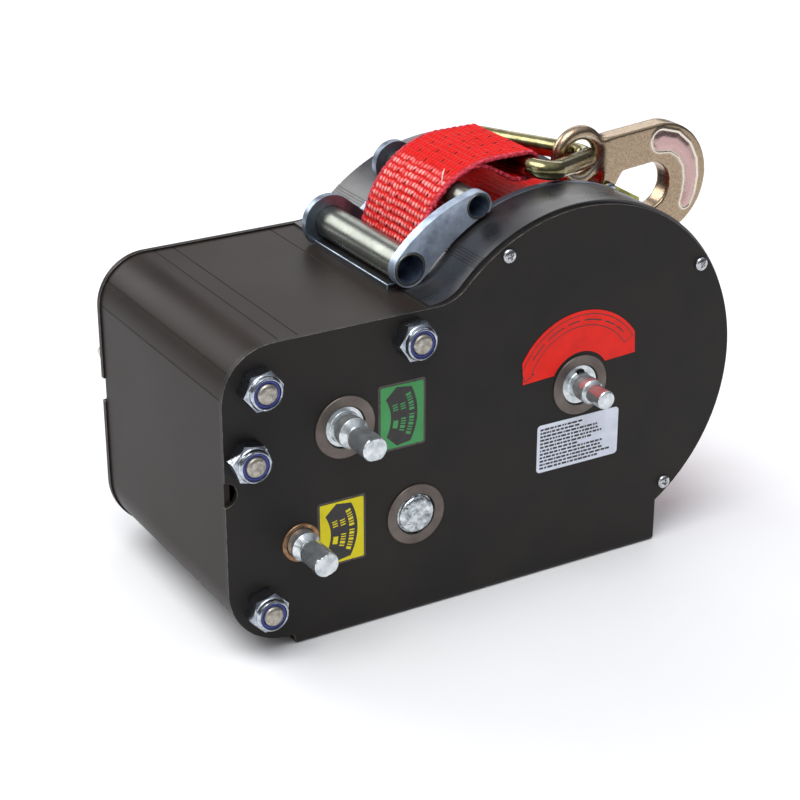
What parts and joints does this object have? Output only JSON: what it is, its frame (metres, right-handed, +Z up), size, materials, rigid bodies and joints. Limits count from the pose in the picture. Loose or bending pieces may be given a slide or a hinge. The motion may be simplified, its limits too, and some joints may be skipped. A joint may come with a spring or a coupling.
{
  "type": "hand strap winch",
  "caption": "Hand winch with a geared housing, crank ends, a drum of webbing strap led out between guide tubes, and a safety hook on a ring.",
  "frame": {"origin": "centre of the four foot holes, on the underside of the feet", "axes": "+Z up, +X from the gear end towards the drum end, +Y from the crank side to the back"},
  "size_m": [0.3436, 0.1914, 0.2255],
  "materials": {
    "black_plate": "satin powder coat",
    "shell": "dark anodised extrusion, satin",
    "band": "semi-gloss black",
    "zinc_plate": "zinc plated, dull",
    "bright_zinc": "bright zinc plated",
    "ring_steel": "turned, grey brown",
    "bronze": "turned bronze",
    "screw_steel": "stainless",
    "shaft_steel": "turned steel",
    "yellow_zinc": "yellow passivated zinc",
    "latch_zinc": "yellow-green passivated zinc sheet",
    "webbing": "woven polyester webbing with dark tracer threads",
    "green_film": "printed film",
    "yellow_film": "printed film",
    "white_film": "printed film",
    "red_film": "printed film"
  },
  "bodies": {
    "housing": {"front_plate": "black_plate", "rear_plate": "black_plate", "front_inner_plate": "zinc_plate", "rear_inner_plate": "zinc_plate", "end_shell": "shell", "front_band": "band", "rear_band": "band", "upper_shaft_rings": "ring_steel", "middle_shaft_rings": "ring_steel", "drum_axis_rings": "ring_steel", "lower_shaft_bushes": "bronze", "tie_bolts": "bright_zinc", "lock_nuts": "bright_zinc", "front_cover_screws": "screw_steel", "rear_cover_screws": "screw_steel", "lower_guide_tube": "zinc_plate", "upper_guide_tube": "zinc_plate", "guide_arm": "zinc_plate", "window_sill": "zinc_plate", "strap": "webbing", "green_label": "green_film", "yellow_label": "yellow_film", "data_label": "white_film", "dial_label": "red_film"},
    "drum": {"drum_barrel": "shaft_steel", "strap_coil": "webbing"},
    "upper_crank": {"upper_crank_shaft": "bright_zinc"},
    "lower_crank": {"lower_crank_shaft": "bright_zinc"},
    "middle_axle": {"middle_shaft": "bright_zinc"},
    "release": {"release_shaft": "bright_zinc"},
    "link": {"link": "yellow_zinc"},
    "hook": {"hook": "yellow_zinc", "latch_rivet": "bright_zinc"},
    "latch": {"latch": "latch_zinc"}
  },
  "joints": [
    {"name": "drum_turn", "type": "hinge", "parent": "housing", "child": "drum", "pos_m": [0.0585, 0, 0.108], "axis": [0, 1, 0], "continuous": true},
    {"name": "middle_shaft_turn", "type": "hinge", "parent": "housing", "child": "middle_axle", "pos_m": [-0.043, 0, 0.0572], "axis": [0, 1, 0], "continuous": true},
    {"name": "lower_crank_turn", "type": "hinge", "parent": "housing", "child": "lower_crank", "pos_m": [-0.1104, 0, 0.0585], "axis": [0, 1, 0], "continuous": true},
    {"name": "upper_crank_turn", "type": "hinge", "parent": "housing", "child": "upper_crank", "pos_m": [-0.0842, 0, 0.1165], "axis": [0, 1, 0], "continuous": true},
    {"name": "release_turn", "type": "hinge", "parent": "housing", "child": "release", "pos_m": [0.0585, 0, 0.108], "axis": [0, -1, 0], "range_deg": [0, 140]},
    {"name": "link_swing", "type": "hinge", "parent": "housing", "child": "link", "pos_m": [0.0535, 0, 0.2172], "axis": [0, -1, 0], "range_deg": [0, 90]},
    {"name": "hook_swing", "type": "hinge", "parent": "link", "child": "hook", "pos_m": [0.10654, 0, 0.20633], "axis": [0, -1, 0], "range_deg": [0, 80]},
    {"name": "latch_swing", "type": "hinge", "parent": "hook", "child": "latch", "pos_m": [0.12304, 0, 0.18633], "axis": [0, -1, 0], "range_deg": [0, 28], "stiffness_Nm_per_rad": 0.03, "springref_deg": -28.65}
  ],
  "couplings": [
    {"joint": "middle_shaft_turn", "follows": "drum_turn", "ratio": -4},
    {"joint": "lower_crank_turn", "follows": "drum_turn", "ratio": 12},
    {"joint": "upper_crank_turn", "follows": "drum_turn", "ratio": -28.8}
  ]
}
